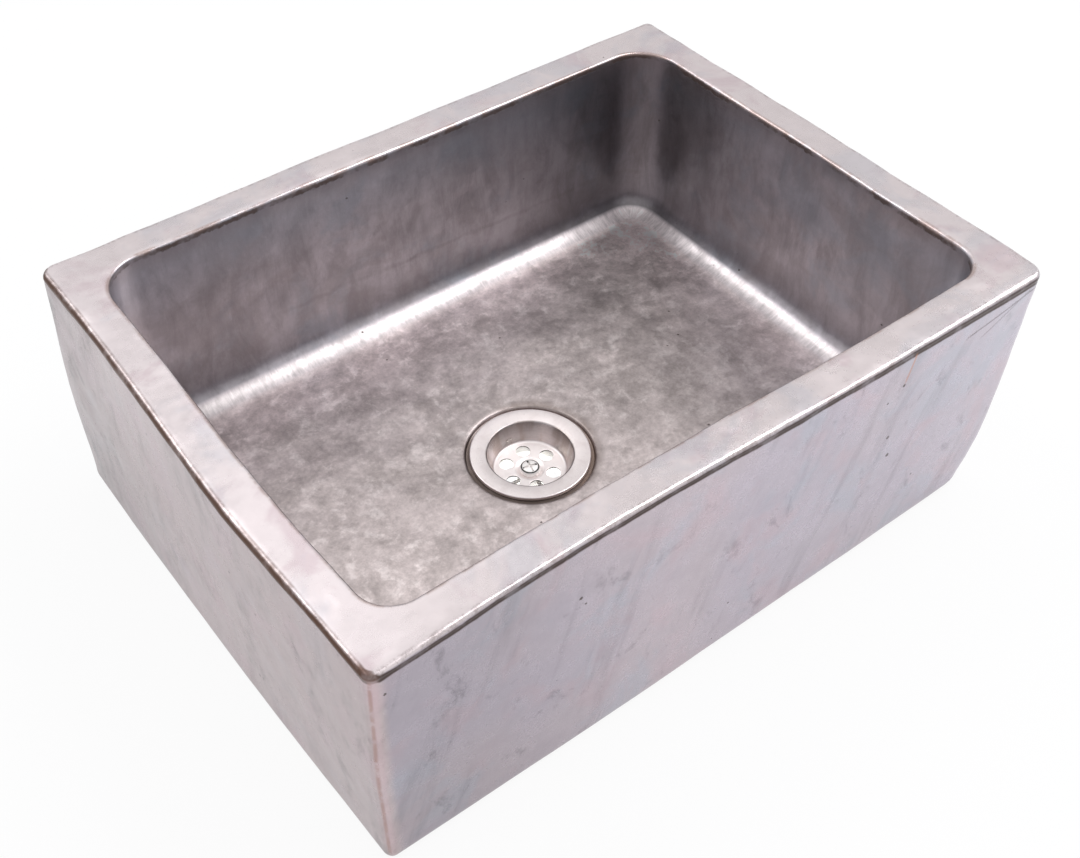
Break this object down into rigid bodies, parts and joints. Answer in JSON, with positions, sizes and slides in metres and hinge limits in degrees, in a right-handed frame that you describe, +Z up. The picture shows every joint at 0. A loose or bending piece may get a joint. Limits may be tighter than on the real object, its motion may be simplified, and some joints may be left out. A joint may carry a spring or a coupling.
{
  "type": "farmhouse apron front sink",
  "caption": "Rectangular single-bowl apron front sink in metallic glazed stoneware, with a dished floor and a round stainless strainer waste clamped by a centre screw.",
  "frame": {"origin": "middle of the basin's foot, on the surface that the sink stands on", "axes": "+X along the apron front to the right as a user faces it, +Y from the apron to the back wall, +Z up"},
  "size_m": [0.424, 0.316, 0.156],
  "materials": {
    "glazed_stoneware": "gloss",
    "stainless_steel": "satin",
    "polished_screw": "polished",
    "brass": "satin",
    "white_polypropylene": "satin",
    "black_rubber": "matte"
  },
  "bodies": {
    "root": {"basin": "glazed_stoneware", "waste_flange": "stainless_steel", "clamp_screw": "polished_screw", "screw_insert": "brass", "waste_body": "white_polypropylene", "flange_gasket": "black_rubber", "body_gasket": "black_rubber"}
  },
  "joints": []
}
